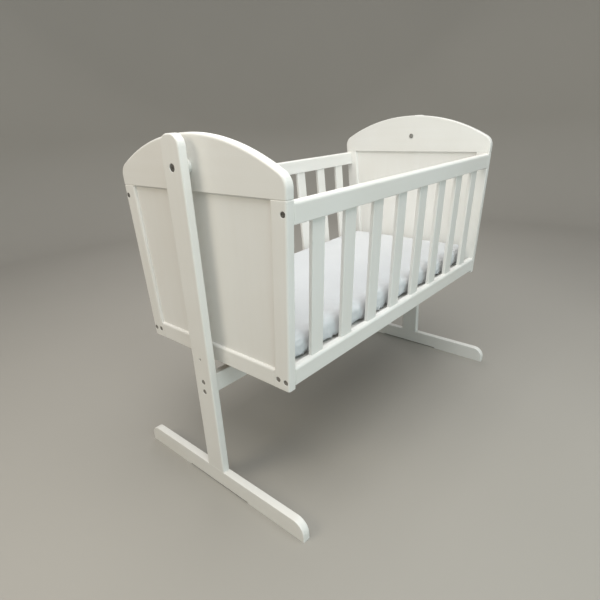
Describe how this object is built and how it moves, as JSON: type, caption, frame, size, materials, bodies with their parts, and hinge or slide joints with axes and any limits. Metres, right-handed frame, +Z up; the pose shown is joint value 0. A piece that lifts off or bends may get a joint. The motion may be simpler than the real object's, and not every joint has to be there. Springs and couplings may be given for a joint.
{
  "type": "swing cradle",
  "caption": "White wooden baby cradle with slatted sides and arched ends, hung from two T-shaped stand ends so that it swings sideways, with a fitted mattress.",
  "frame": {"origin": "on the floor, under the middle of the cradle", "axes": "+X along the cradle's length towards the right end, +Y towards the back side, +Z up"},
  "size_m": [0.914, 0.53, 0.769],
  "materials": {
    "white_paint": "satin white paint on wood",
    "dark_steel": "dark plated",
    "zinc_steel": "zinc plated",
    "beech": "bare fluted dowel",
    "base_fibreboard": "white-faced hardboard",
    "sheet_cotton": "white cotton jersey"
  },
  "bodies": {
    "stand": {"left_post": "white_paint", "left_foot": "white_paint", "right_post": "white_paint", "right_foot": "white_paint", "stretcher": "white_paint", "stretcher_bolts": "dark_steel", "stretcher_barrel_nuts": "zinc_steel", "foot_dowels": "beech"},
    "cradle": {"left_top_board": "white_paint", "left_front_stile": "white_paint", "left_back_stile": "white_paint", "left_end_rail": "white_paint", "left_end_panel": "white_paint", "left_end_dowels": "beech", "left_pivot_bolt": "dark_steel", "left_pivot_spacer": "white_paint", "left_pivot_nut": "zinc_steel", "right_top_board": "white_paint", "right_front_stile": "white_paint", "right_back_stile": "white_paint", "right_end_rail": "white_paint", "right_end_panel": "white_paint", "right_end_dowels": "beech", "right_pivot_bolt": "dark_steel", "right_pivot_spacer": "white_paint", "right_pivot_nut": "zinc_steel", "front_top_rail": "white_paint", "front_bottom_rail": "white_paint", "front_cleat": "white_paint", "front_slat_1": "white_paint", "front_slat_2": "white_paint", "front_slat_3": "white_paint", "front_slat_4": "white_paint", "front_slat_5": "white_paint", "front_slat_6": "white_paint", "front_slat_7": "white_paint", "front_slat_8": "white_paint", "back_top_rail": "white_paint", "back_bottom_rail": "white_paint", "back_cleat": "white_paint", "back_slat_1": "white_paint", "back_slat_2": "white_paint", "back_slat_3": "white_paint", "back_slat_4": "white_paint", "back_slat_5": "white_paint", "back_slat_6": "white_paint", "back_slat_7": "white_paint", "back_slat_8": "white_paint", "base_board": "base_fibreboard", "side_bolts": "dark_steel", "side_insert_nuts": "zinc_steel", "cleat_screws": "dark_steel"},
    "mattress": {"mattress": "sheet_cotton"}
  },
  "joints": [
    {"name": "cradle_swing", "type": "hinge", "parent": "stand", "child": "cradle", "pos_m": [0, 0, 0.711], "axis": [1, 0, 0], "range_deg": [-20, 20]},
    {"name": "mattress_lift", "type": "slide", "parent": "cradle", "child": "mattress", "axis": [0, 0, 1], "range_m": [0, 0.35]}
  ]
}
